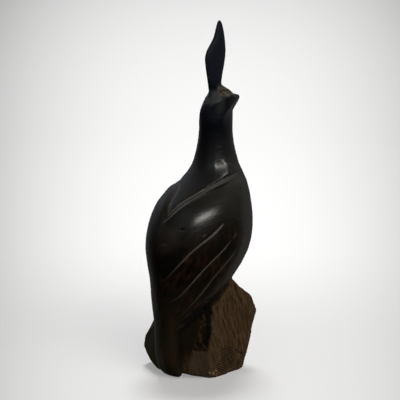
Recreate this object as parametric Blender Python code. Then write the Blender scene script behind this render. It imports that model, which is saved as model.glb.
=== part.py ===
"""A quail carved from one block of ironwood, sitting on the rough-hewn base it was cut from.

Metres, +Z up. The bird looks along -Y, and its right wing is on the -X side. The origin is on the
ground in the bird's mirror plane. The bird's form is written as shares of its height. The base
follows sizes of its own, and what it is cut by is written as shares of those.
"""

import math

import bmesh
import bpy
from mathutils import Vector, noise

# Driving sizes
HEIGHT = 0.32            # ground to the tip of the plume
BASE_WIDTH = 0.077       # across the bird
BASE_DEPTH = 0.091       # along the bird, from the front to what the tail hides
BASE_HEIGHT = 0.088      # ground to the flat that the belly hides
BASE_ASIDE = 0.0095      # from the mirror plane to the base's middle, towards the bird's left
BASE_FORWARD = 0.0075    # from the origin to the base's middle, towards the beak
HEWN_SPACING = 0.009     # from one lump of the hewn base to the next
HEWN_DEPTH = 0.0016      # how far a lump stands out
HEWN_BREADTH = 2.2       # breadth of a lump, in such spacings
HEWN_SEED = 48           # which lumps come out where
GROOVE_WIDTH = 0.0026    # the line carved between two feathers
GROOVE_DEPTH = 0.0012
WING_LIFT = 0.0027       # how far a folded wing stands out from the back
JAW_LIFT = 0.0013        # how far the cheek stands out from the throat
COLUMNS = 56             # points around the body
BACK_CROWDING = 0.3      # how much closer they stand on the back than on the breast
SOFT_EDGE = math.radians(40)    # a sharper edge is shaded as one

# The body from the end of the tail to the crown, as shares of HEIGHT:
# level, middle along Y, half width, half depth
SECTIONS = (
    (0.006, 0.110, 0.030, 0.012),
    (0.016, 0.114, 0.038, 0.019),
    (0.034, 0.121, 0.042, 0.024),
    (0.070, 0.126, 0.045, 0.028),
    (0.158, 0.128, 0.046, 0.030),
    (0.180, 0.119, 0.053, 0.042),
    (0.210, 0.091, 0.072, 0.071),
    (0.240, 0.060, 0.092, 0.101),
    (0.287, 0.030, 0.109, 0.132),
    (0.351, 0.005, 0.123, 0.160),
    (0.421, -0.008, 0.127, 0.163),
    (0.487, -0.022, 0.117, 0.144),
    (0.538, -0.048, 0.097, 0.108),
    (0.570, -0.059, 0.079, 0.084),
    (0.604, -0.063, 0.063, 0.065),
    (0.674, -0.063, 0.0485, 0.0495),
    (0.741, -0.065, 0.046, 0.0475),
    (0.775, -0.073, 0.039, 0.041),
    (0.797, -0.080, 0.030, 0.035),
    (0.818, -0.063, 0.016, 0.019),
)
TAIL_END = SECTIONS[0][0]
CROWN = SECTIONS[-1][0]

# Levels that the mesh's rows are laid between
CROWN_REACH = 0.97       # how far the crown's rows go down towards the top of the cheek
CROWN_ROWS = 7
CROWN_CLOSENESS = 1.4    # above 1 the rows crowd towards the top
NECK = (0.608, 0.690)
WING_FOOT = 0.285
TAIL = (0.070, 0.150)

# The plume, in the same terms
PLUME_SECTIONS = (
    (0.790, -0.058, 0.012, 0.020),
    (0.820, -0.058, 0.014, 0.024),
    (0.850, -0.058, 0.014, 0.031),
    (0.880, -0.059, 0.0135, 0.038),
    (0.903, -0.061, 0.013, 0.0405),
    (0.925, -0.067, 0.0115, 0.034),
    (0.948, -0.075, 0.0105, 0.0225),
    (0.972, -0.077, 0.008, 0.0155),
    (0.992, -0.077, 0.005, 0.008),
    (1.000, -0.076, 0.002, 0.003),
)
PLUME_POINTS = 16
PLUME_ROWS = 18
PLUME_FLATNESS = 1.35    # above 1 the plume's sides hollow towards its edges

# The face from inside the head to the tip of the beak, as shares of HEIGHT:
# place along Y, half width, level of the throat, level of the jaw's edge, level of the brow
FACE_SECTIONS = (
    (-0.070, 0.041, 0.698, 0.740, 0.792),
    (-0.090, 0.0365, 0.704, 0.747, 0.7945),
    (-0.107, 0.030, 0.713, 0.754, 0.7945),
    (-0.125, 0.020, 0.732, 0.762, 0.7905),
    (-0.142, 0.0115, 0.751, 0.770, 0.7875),
    (-0.153, 0.006, 0.764, 0.774, 0.785),
    (-0.159, 0.0022, 0.771, 0.776, 0.781),
)
FACE_POINTS = 16
BROW_FULLNESS = 0.7      # below 1 the head bulges under the brow

# The wings' upper edges meet in a V on the back. Each rises from there to its shoulder: how far, and
# the angle over which the rise slackens. The left one was carved steeper than the right one.
WING_TIP = 0.457
RIGHT_WING = (0.119, math.radians(33))
LEFT_WING = (0.090, math.radians(10))

# Carving across a wing's upper edge: drop below the edge as a share of HEIGHT, and lift as a share of
# WING_LIFT. A groove, a bead and a finer groove lie above the wing's own rounded lip.
WING_PROFILE = (
    (-0.0050, 0.00),
    (0.0000, -0.55),
    (0.0052, 0.50),
    (0.0100, -0.20),
    (0.0155, 0.85),
    (0.0270, 1.00),
)
WING_FADE = (0.265, 0.385)    # levels between which the wing sinks back into the tail
WING_FRONT = (math.radians(88), math.radians(116))

# The jaw line: its level at the nape, its rise to the chin, and the angles that it rises between
JAW = 0.724
JAW_RISE = 0.042
JAW_ANGLES = (math.radians(58), math.radians(125))
JAW_STEP = 0.006         # over which the cheek rises from the line
CHEEK = (0.012, 0.040)   # heights above the line between which the cheek sinks back into the head

# The three grooves on each wing, as points (place along Y, level) in shares of HEIGHT
FEATHER_GROOVES = (
    ((0.030, 0.449), (0.088, 0.402), (0.145, 0.328), (0.157, 0.287)),
    ((-0.002, 0.401), (0.059, 0.352), (0.104, 0.305), (0.147, 0.235)),
    ((-0.019, 0.361), (0.042, 0.305), (0.090, 0.243), (0.130, 0.190)),
)
GROOVE_STEPS = 5
GROOVE_END = 0.3         # width left at a groove's ends, as a share of its greatest
GROOVE_BROADEST = 0.6    # below 1 a groove is broadest near its front end

# The planes that the base is hewn along: a point on each, as shares of the base's width, depth and
# height from the middle of its underside, and the way it faces
BASE_FACETS = (
    ((-0.383, -0.322, 0.801), (-0.08, -0.64, 0.76)),
    ((-0.383, -0.422, 0.619), (-0.12, -0.92, 0.38)),
    ((-0.383, -0.405, 0.523), (-0.05, -0.93, -0.34)),
    ((-0.383, -0.365, 0.300), (-0.05, -0.96, -0.23)),
    ((-0.531, 0.112, 0.000), (-1.00, 0.02, 0.08)),
    ((-0.615, 0.090, 0.000), (-0.56, -0.23, -0.79)),
    ((-0.487, 0.221, 0.455), (-0.88, 0.47, 0.00)),
    ((0.500, 0.375, 0.193), (0.53, 0.53, -0.66)),
    ((0.500, 0.410, 0.227), (0.62, 0.62, 0.48)),
    ((0.487, 0.082, 0.341), (0.95, 0.00, 0.30)),
    ((0.422, -0.357, 0.341), (0.66, -0.74, 0.10)),
    ((-0.136, 0.335, 0.000), (-0.10, 0.42, -0.90)),
    ((-0.253, 0.440, 0.100), (-0.10, 0.95, -0.15)),
    ((0.227, 0.460, 0.400), (0.43, 0.90, 0.10)),
)

# A spur at the foot of the base, beside the tail, in the same terms
SPUR_FACETS = (
    ((-0.474, 0.260, 0.270), (-0.50, 0.30, 0.80)),
    ((-0.480, 0.260, 0.050), (-0.76, 0.65, 0.00)),
    ((-0.508, 0.150, 0.000), (-1.00, 0.02, 0.08)),
    ((-0.136, 0.290, 0.000), (-0.14, 0.42, -0.80)),
    ((-0.180, 0.475, 0.100), (-0.10, 0.95, 0.10)),
    ((-0.080, 0.230, 0.100), (1.00, 0.10, 0.30)),
    ((-0.300, 0.000, 0.100), (0.00, -1.00, 0.00)),
)

GROUND_TRIM = 0.004      # wood below the ground, which the last cut takes off


def remove_objects():
    for obj in list(bpy.data.objects):
        bpy.data.objects.remove(obj)


def collection_named(name):
    made = bpy.data.collections.new(name)
    bpy.context.scene.collection.children.link(made)
    return made


def ironwood():
    made = bpy.data.materials.new("ironwood")
    made.use_nodes = True
    shader = made.node_tree.nodes["Principled BSDF"]
    shader.inputs["Base Color"].default_value = (0.022, 0.016, 0.013, 1.0)
    shader.inputs["Roughness"].default_value = 0.32
    shader.inputs["Metallic"].default_value = 0.0
    return made


def object_from(bm, name, collection):
    """Close a bmesh into a new object with its faces pointing out."""
    bmesh.ops.recalc_face_normals(bm, faces=bm.faces)
    mesh = bpy.data.meshes.new(name)
    bm.to_mesh(mesh)
    bm.free()
    made = bpy.data.objects.new(name, mesh)
    collection.objects.link(made)
    return made


def as_tool(obj):
    """Mark an object that only shapes another one."""
    obj.hide_render = True
    obj.display_type = "WIRE"
    return obj


def smoothstep(value, start, end):
    share = min(max((value - start) / (end - start), 0.0), 1.0)
    return share * share * (3.0 - 2.0 * share)


def slope_at(table, i, column):
    """Slope of one column of a table at row i, over its neighbours."""
    low = max(i - 1, 0)
    high = min(i + 1, len(table) - 1)
    return (table[high][column] - table[low][column]) / (table[high][0] - table[low][0])


def read_table(table, place):
    """The columns of a table at a place between its rows, on a smooth curve through them."""
    place = min(max(place, table[0][0]), table[-1][0])
    i = 0
    while i < len(table) - 2 and place > table[i + 1][0]:
        i += 1
    span = table[i + 1][0] - table[i][0]
    t = (place - table[i][0]) / span
    start = (1.0 + 2.0 * t) * (1.0 - t) ** 2
    end = t * t * (3.0 - 2.0 * t)
    values = []
    for column in range(1, len(table[0])):
        leave = slope_at(table, i, column) * span * t * (1.0 - t) ** 2
        arrive = slope_at(table, i + 1, column) * span * t * t * (t - 1.0)
        values.append(start * table[i][column] + end * table[i + 1][column] + leave + arrive)
    return values


def along_profile(profile, place):
    """Value of a profile of straight runs at a place, held at its ends."""
    if place <= profile[0][0]:
        return profile[0][1]
    for (start, low), (end, high) in zip(profile, profile[1:]):
        if place <= end:
            return low + (high - low) * (place - start) / (end - start)
    return profile[-1][1]


def plain_point(angle, level):
    """A point of the uncarved body. The angle runs from mid-back round to the bird's right."""
    middle, half_width, half_depth = read_table(SECTIONS, level)
    across = -half_width * math.sin(angle)
    along = middle + half_depth * math.cos(angle)
    return Vector((across, along, level)) * HEIGHT


def plain_normal(angle, level):
    step = 0.003
    around = plain_point(angle + step, level) - plain_point(angle - step, level)
    upward = plain_point(angle, min(level + step, CROWN)) - plain_point(angle, max(level - step, TAIL_END))
    return around.cross(upward).normalized()


def wing_edge(angle):
    """Level of the upper edge of the wing on that side of the back."""
    rise, slack = RIGHT_WING if angle > 0.0 else LEFT_WING
    return WING_TIP + rise * (1.0 - math.exp(-abs(angle) / slack))


def jaw_line(angle):
    return JAW + JAW_RISE * smoothstep(abs(angle), *JAW_ANGLES)


def relief(angle, level):
    """How far the carved surface stands out from the plain body."""
    wing = WING_LIFT * along_profile(WING_PROFILE, wing_edge(angle) - level)
    wing *= smoothstep(level, *WING_FADE)
    wing *= 1.0 - smoothstep(abs(angle), *WING_FRONT)
    above_jaw = level - jaw_line(angle)
    cheek = JAW_LIFT * smoothstep(above_jaw, 0.0, JAW_STEP) * smoothstep(abs(angle), *JAW_ANGLES)
    cheek *= 1.0 - smoothstep(above_jaw, *CHEEK)
    return wing + cheek


def body_point(angle, level):
    return plain_point(angle, level) + plain_normal(angle, level) * relief(angle, level)


def flat(level):
    return lambda angle: level


def beside(line, rise):
    return lambda angle: line(angle) + rise


def between(upper, lower, count):
    """Lines that divide the space between two lines evenly."""

    def line(share):
        return lambda angle: upper(angle) + (lower(angle) - upper(angle)) * share

    return [line(step / (count + 1)) for step in range(1, count + 1)]


def body_lines():
    """The mesh's rows from the crown down. They follow the carved lines, so that each stays crisp."""
    depth = CROWN_REACH * (CROWN - JAW - JAW_RISE - JAW_STEP)
    steps = [(row / CROWN_ROWS) ** CROWN_CLOSENESS for row in range(CROWN_ROWS + 1)]
    crown = [flat(CROWN - depth * step) for step in steps]
    jaw_top = beside(jaw_line, JAW_STEP)
    neck_top = flat(NECK[1])
    neck_foot = flat(NECK[0])
    band = [beside(wing_edge, -drop) for drop, lift in WING_PROFILE]
    wing_foot = flat(WING_FOOT)
    tail_top = flat(TAIL[1])
    tail_foot = flat(TAIL[0])
    lines = crown + between(crown[-1], jaw_top, 2) + [jaw_top, jaw_line]
    lines += between(jaw_line, neck_top, 2) + [neck_top]
    lines += between(neck_top, neck_foot, 3) + [neck_foot]
    lines += between(neck_foot, band[0], 5) + band
    lines += between(band[-1], wing_foot, 7) + [wing_foot]
    lines += between(wing_foot, tail_top, 8) + [tail_top]
    lines += between(tail_top, tail_foot, 3) + [tail_foot]
    lines += [flat(TAIL_END + (TAIL[0] - TAIL_END) * share) for share in (0.70, 0.45, 0.26, 0.12, 0.0)]
    return lines


def loft(rings, name, collection):
    """A closed skin over rings of equal length, from the top one down."""
    bm = bmesh.new()
    skin = [[bm.verts.new(point) for point in ring] for ring in rings]
    for upper, lower in zip(skin, skin[1:]):
        for i in range(len(upper)):
            j = (i + 1) % len(upper)
            bm.faces.new((upper[i], lower[i], lower[j], upper[j]))
    bm.faces.new(skin[0])
    bm.faces.new(skin[-1])
    return object_from(bm, name, collection)


def make_body(collection):
    turns = [math.pi * (2.0 * i / COLUMNS - 1.0) for i in range(COLUMNS)]
    angles = [turn - BACK_CROWDING * math.sin(turn) for turn in turns]
    rings = [[body_point(angle, line(angle)) for angle in angles] for line in body_lines()]
    return loft(rings, "quail_carving", collection)


def make_plume(collection):
    """A leaf-shaped blade: each section is a lens with its sharp edges fore and aft."""
    bottom = PLUME_SECTIONS[0][0]
    top = PLUME_SECTIONS[-1][0]
    rings = []
    for row in range(PLUME_ROWS, -1, -1):
        level = bottom + (top - bottom) * math.sin(row / PLUME_ROWS * math.pi / 2.0)
        middle, half_width, half_depth = read_table(PLUME_SECTIONS, level)
        ring = []
        for i in range(PLUME_POINTS):
            angle = 2.0 * math.pi * i / PLUME_POINTS
            across = -half_width * math.copysign(abs(math.sin(angle)) ** PLUME_FLATNESS, math.sin(angle))
            along = middle + half_depth * math.cos(angle)
            ring.append(Vector((across, along, level)) * HEIGHT)
        rings.append(ring)
    return as_tool(loft(rings, "plume", collection))


def face_ring(along, half_width, throat, jaw, brow):
    """A section of the face: a bowed side down to the jaw's edge, then straight in to the throat."""
    ring = []
    for i in range(FACE_POINTS):
        angle = 2.0 * math.pi * i / FACE_POINTS
        turn = math.sin(angle)
        share = abs(turn)
        level = jaw + (throat - jaw) * (1.0 - share)
        if math.cos(angle) > 0.0:
            share = share ** BROW_FULLNESS
            level = jaw + (brow - jaw) * math.cos(angle)
        across = math.copysign(half_width * share, turn)
        ring.append(Vector((across, along, level)) * HEIGHT)
    return ring


def make_face(collection):
    rings = [face_ring(*section) for section in FACE_SECTIONS]
    return as_tool(loft(rings, "face", collection))


def smooth_path(points, steps):
    """Points on a smooth curve through a groove's own points."""
    path = []
    for i in range(len(points) - 1):
        before = Vector(points[max(i - 1, 0)])
        start = Vector(points[i])
        end = Vector(points[i + 1])
        after = Vector(points[min(i + 2, len(points) - 1)])
        for step in range(steps):
            t = step / steps
            bend = (end - before) * 0.5 * t * (1.0 - t) ** 2 + (after - start) * 0.5 * t * t * (t - 1.0)
            path.append(start * (1.0 + 2.0 * t) * (1.0 - t) ** 2 + end * t * t * (3.0 - 2.0 * t) + bend)
    path.append(Vector(points[-1]))
    return path


def angle_of(along, level):
    """Angle at which the body's right side stands at a place along Y."""
    middle, half_width, half_depth = read_table(SECTIONS, level)
    return math.acos(min(max((along - middle) / half_depth, -1.0), 1.0))


def make_groove(points, side, collection):
    """A tapering round cutter laid along a line on the wing."""
    radius = ((GROOVE_WIDTH / 2.0) ** 2 + GROOVE_DEPTH ** 2) / (2.0 * GROOVE_DEPTH)
    path = smooth_path(points, GROOVE_STEPS)
    curve = bpy.data.curves.new("groove", "CURVE")
    curve.dimensions = "3D"
    curve.bevel_depth = radius
    curve.bevel_resolution = 1
    curve.use_fill_caps = True
    spline = curve.splines.new("POLY")
    spline.points.add(len(path) - 1)
    for i, (along, level) in enumerate(path):
        share = i / (len(path) - 1)
        swell = abs(math.sin(math.pi * share ** GROOVE_BROADEST)) ** GROOVE_BROADEST
        taper = GROOVE_END + (1.0 - GROOVE_END) * swell
        angle = side * angle_of(along, level)
        stand = (radius - GROOVE_DEPTH) * taper
        point = body_point(angle, level) + plain_normal(angle, level) * stand
        spline.points[i].co = (*point, 1.0)
        spline.points[i].radius = taper
    return tool_from_curve(curve, collection)


def tool_from_curve(curve, collection):
    """A closed mesh in place of a curve, because a Boolean takes meshes only."""
    guide = bpy.data.objects.new(curve.name, curve)
    collection.objects.link(guide)
    bpy.context.view_layer.update()
    evaluated = guide.evaluated_get(bpy.context.evaluated_depsgraph_get())
    mesh = bpy.data.meshes.new_from_object(evaluated)
    place = guide.matrix_world.copy()
    bpy.data.objects.remove(guide)
    bm = bmesh.new()
    bm.from_mesh(mesh)
    bmesh.ops.remove_doubles(bm, verts=bm.verts, dist=0.00001)
    made = object_from(bm, "groove", collection)
    made.matrix_world = place
    return as_tool(made)


def base_place(share):
    """World position of a point given as shares of the base's width, depth and height."""
    across = BASE_ASIDE + share[0] * BASE_WIDTH
    along = -BASE_FORWARD + share[1] * BASE_DEPTH
    return Vector((across, along, share[2] * BASE_HEIGHT))


def cut_off(bm, point, facing):
    """Take off what lies beyond a plane and close the cut."""
    parts = bm.verts[:] + bm.edges[:] + bm.faces[:]
    bmesh.ops.bisect_plane(bm, geom=parts, plane_co=point, plane_no=facing, clear_outer=True)
    bmesh.ops.holes_fill(bm, edges=[edge for edge in bm.edges if edge.is_boundary])


def slice_evenly(bm, spacing):
    """Divide a block's faces by level planes at even steps along each axis, keeping its edges."""
    for axis in range(3):
        facing = Vector((0.0, 0.0, 0.0))
        facing[axis] = 1.0
        low = min(vert.co[axis] for vert in bm.verts)
        high = max(vert.co[axis] for vert in bm.verts)
        count = max(int((high - low) / spacing), 1)
        for step in range(1, count):
            place = facing * (low + (high - low) * step / count)
            parts = bm.verts[:] + bm.edges[:] + bm.faces[:]
            bmesh.ops.bisect_plane(bm, geom=parts, plane_co=place, plane_no=facing)


def hew(bm):
    """Push the surface in and out in lumps, the way an adze leaves it."""
    noise.seed_set(HEWN_SEED)
    for vert in bm.verts:
        lump = noise.noise_vector(vert.co / (HEWN_BREADTH * HEWN_SPACING))
        vert.co += lump * HEWN_DEPTH


def make_block(facets, name, collection):
    """A block with the base's bounds, cut off along each facet and hewn."""
    bm = bmesh.new()
    bmesh.ops.create_cube(bm, size=1.0)
    for vert in bm.verts:
        vert.co = base_place((vert.co.x, vert.co.y, vert.co.z + 0.5))
        if vert.co.z < BASE_HEIGHT / 2.0:
            vert.co.z = -GROUND_TRIM
    for share, facing in facets:
        cut_off(bm, base_place(share), Vector(facing).normalized())
    slice_evenly(bm, HEWN_SPACING)
    hew(bm)
    bmesh.ops.triangulate(bm, faces=bm.faces)
    return as_tool(object_from(bm, name, collection))


def make_ground(collection):
    """What lies below the ground plane."""
    bm = bmesh.new()
    bmesh.ops.create_cube(bm, size=2.0 * HEIGHT)
    bmesh.ops.translate(bm, verts=bm.verts, vec=(0.0, 0.0, -HEIGHT))
    return as_tool(object_from(bm, "ground", collection))


def shape_with(obj, tool, operation, solver="EXACT"):
    change = obj.modifiers.new(tool.name, "BOOLEAN")
    change.operation = operation
    change.object = tool
    change.solver = solver


def main():
    remove_objects()
    parts = collection_named("Quail carving")
    tools = collection_named("Cutters")
    carving = make_body(parts)
    carving.data.materials.append(ironwood())
    for points in FEATHER_GROOVES:
        for side in (-1.0, 1.0):
            shape_with(carving, make_groove(points, side, tools), "DIFFERENCE")
    shape_with(carving, make_plume(tools), "UNION")
    shape_with(carving, make_face(tools), "UNION")
    # The hewn faces meet the body at slight angles, where the exact solver leaves slivers that don't close
    shape_with(carving, make_block(BASE_FACETS, "base block", tools), "UNION", "MANIFOLD")
    shape_with(carving, make_block(SPUR_FACETS, "base spur", tools), "UNION", "MANIFOLD")
    shape_with(carving, make_ground(tools), "DIFFERENCE", "MANIFOLD")
    carving.data.shade_smooth()
    carving.data.set_sharp_from_angle(angle=SOFT_EDGE)


main()
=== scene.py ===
import math

import bpy
import numpy as np
from mathutils import Matrix, Vector, noise
from mathutils.bvhtree import BVHTree


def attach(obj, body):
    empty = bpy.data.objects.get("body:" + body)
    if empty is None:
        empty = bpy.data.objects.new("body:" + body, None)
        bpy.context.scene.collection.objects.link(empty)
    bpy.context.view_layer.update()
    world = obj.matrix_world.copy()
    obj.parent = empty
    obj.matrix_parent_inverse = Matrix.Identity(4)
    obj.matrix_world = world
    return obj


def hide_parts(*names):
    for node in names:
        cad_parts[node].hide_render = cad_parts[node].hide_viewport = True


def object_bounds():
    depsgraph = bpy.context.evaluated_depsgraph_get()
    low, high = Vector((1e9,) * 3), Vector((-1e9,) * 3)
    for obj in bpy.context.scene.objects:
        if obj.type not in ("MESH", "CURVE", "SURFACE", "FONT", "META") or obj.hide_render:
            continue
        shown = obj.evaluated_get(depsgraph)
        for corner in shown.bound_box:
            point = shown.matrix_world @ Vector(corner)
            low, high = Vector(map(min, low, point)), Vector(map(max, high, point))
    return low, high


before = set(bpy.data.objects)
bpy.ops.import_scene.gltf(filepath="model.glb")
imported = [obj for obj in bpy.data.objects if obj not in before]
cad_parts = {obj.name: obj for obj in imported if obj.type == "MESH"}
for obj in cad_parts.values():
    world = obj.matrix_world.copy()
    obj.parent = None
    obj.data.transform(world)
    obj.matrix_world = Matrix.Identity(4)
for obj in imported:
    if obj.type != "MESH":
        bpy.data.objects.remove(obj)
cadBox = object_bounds()
bpy.ops.object.select_all(action="DESELECT")
print("loaded the CAD carving")

# The photo's camera. Lines on the carving are drawn as they look in the photo, in its pixels
# (400 x 400), then cast from this camera onto the wood.
shot = {
    "azimuth": 225.0,                # degrees
    "elevation": 11.0,
    "distance": 1.215,
    "aim": (0.0, 0.0, 0.159),
    "sensor": 36.0,
    "imageWidth": 400,
    "pixel": 0.0009053,              # metres a pixel at the aim
}


def wayTo(azimuth, elevation):
    # Direction toward a camera or lamp: azimuth 0 is in front of the carving, 90 on its left.
    az = math.radians(azimuth)
    el = math.radians(elevation)
    return Vector((math.sin(az) * math.cos(el), -math.cos(az) * math.cos(el), math.sin(el)))


def viewAxes():
    az = math.radians(shot["azimuth"])
    back = wayTo(shot["azimuth"], shot["elevation"])
    right = Vector((math.cos(az), math.sin(az), 0.0))
    return back, right, back.cross(right)


def makeCamera():
    back = viewAxes()[0]
    bpy.ops.object.camera_add(location=Vector(shot["aim"]) + back * shot["distance"])
    camera = bpy.context.object
    camera.rotation_euler = back.to_track_quat("Z", "Y").to_euler()
    camera.data.sensor_width = shot["sensor"]
    width = shot["imageWidth"] * shot["pixel"]
    camera.data.lens = shot["sensor"] * shot["distance"] / width
    bpy.context.scene.camera = camera
    bpy.ops.object.select_all(action="DESELECT")


makeCamera()
bpy.context.scene.view_settings.view_transform = "Standard"

# The carving: a copy of the CAD solid, remeshed, smoothed where it is polished, then carved finer.
# Heights and places are in metres in the part's own frame, and the bird looks along -Y.

carving = {
    "voxel": 0.00120,                # edge of the remesh
    "mergeWithin": 0.00001,
    "relax": (0.63, -0.654),         # a pass moves each point in by the first share, out by the second
    "relaxPasses": 92,
    "leastRelax": 0.12,              # share of the smoothing that the rough block gets too
    "plumeRelax": (0.258, 0.270, 0.6),   # height from, to, share of the smoothing kept off the plume
    "beakRelax": (0.036, 0.044, 0.5),    # the same forward from the middle, for the beak
    "beakLow": 0.2,
    "evenOut": (0.5,),               # a pass of the further smoothing below, by place
    "shoulder": ((186, 230), (200, 222), (214, 213), (227, 205)),   # pixels along the wing's top
    "shoulderReach": (0.009, 0.017),
    "shoulderPasses": 70,
    "shoulderMargin": 0.03,
    "farShoulder": 0.25,             # share of it on the far wing
    "flarePasses": 150,
    "blendPasses": 44,
    "blendReach": (0.002, 0.006),    # where the tail runs softly into the block: from the bird's skin,
    "blendFoot": (0.018, 0.026),     # upwards from,
    "blendTop": (0.050, 0.060),      # up to,
    "blendSide": (0.001, 0.006),     # and out from the mirror plane
    "roughSkin": (0.0003, 0.0012),   # clearance from the bird over which the wood turns rough
    "roughTop": (0.087, 0.091),
    "roughSpread": (1, 30),          # passes that soften the edge of the rough wood, and of the blend
    # how the bird goes on below the belly: height, middle along y, half width, half depth
    "lowerBird": (
        (0.000, 0.0345, 0.0090, 0.0038),
        (0.005, 0.0365, 0.0122, 0.0061),
        (0.011, 0.0387, 0.0134, 0.0077),
        (0.022, 0.0403, 0.0144, 0.0090),
        (0.050, 0.0410, 0.0147, 0.0096),
        (0.058, 0.0381, 0.0170, 0.0134),
        (0.067, 0.0291, 0.0230, 0.0227),
        (0.077, 0.0192, 0.0294, 0.0323),
        (0.092, 0.0096, 0.0349, 0.0422),
        (0.112, 0.0016, 0.0394, 0.0512),
    ),
    "fineStroke": 0.002,             # a narrower stroke gets more faces, and the deepest one counts
    "refineReach": 1.7,              # how far beside it, in its widths
    "strokeStart": 0.18,             # share of its length over which a stroke swells,
    "strokeEnd": 0.45,               # and over which it runs out
    "strokeSwell": (0.6, 0.4),       # share of its width that stays, and that swells with it
    "markWidth": 0.8,                # breadth of its wax or stain, in its widths
    "lumpSize": 0.0034,
    "raggedSize": 0.0040,
    "unevenGain": 2.5,
    "facing": (0.05, 0.25),          # how squarely wood faces the camera to take a patch
    "marks": ("waxAndSheen", "stainAndShade", "shade", "wear", "rasp", "dry"),
}

# The head's sides are cut flat from the brow down to the jaw. Each row: place along y, half width,
# height of the jaw's edge, height of the brow's edge.
head = {
    "sides": (
        (-0.0500, 0.0012, 0.2478, 0.2502),
        (-0.0470, 0.0026, 0.2476, 0.2508),
        (-0.0410, 0.0056, 0.2470, 0.2514),
        (-0.0355, 0.0084, 0.2462, 0.2517),
        (-0.0300, 0.0110, 0.2450, 0.2514),
        (-0.0240, 0.0130, 0.2428, 0.2505),
        (-0.0190, 0.0138, 0.2382, 0.2492),
        (-0.0150, 0.0139, 0.2345, 0.2479),
        (-0.0090, 0.0125, 0.2310, 0.2460),
    ),
    "box": (0.228, 0.266, -0.006),   # lowest, highest, furthest back
    "backFade": (-0.024, -0.015),    # along y, where the flat side runs out into the nape
    "sideFrom": (0.55, 0.8),         # share of the half width from which a point is on the side
    "jawEdge": 0.0003,
    "browRise": 0.0035,              # height over which the wood above the brow comes back in
    "throatCut": 0.0011,             # how deep the throat is cut in under the jaw
    "throatGap": 0.0002,
    "throatReach": 0.009,            # how far down it runs out
    "throatFrom": (0.010, 0.020),    # forward from the middle, where it starts
    "throatTo": (0.034, 0.040),      # and ends
}
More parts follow.
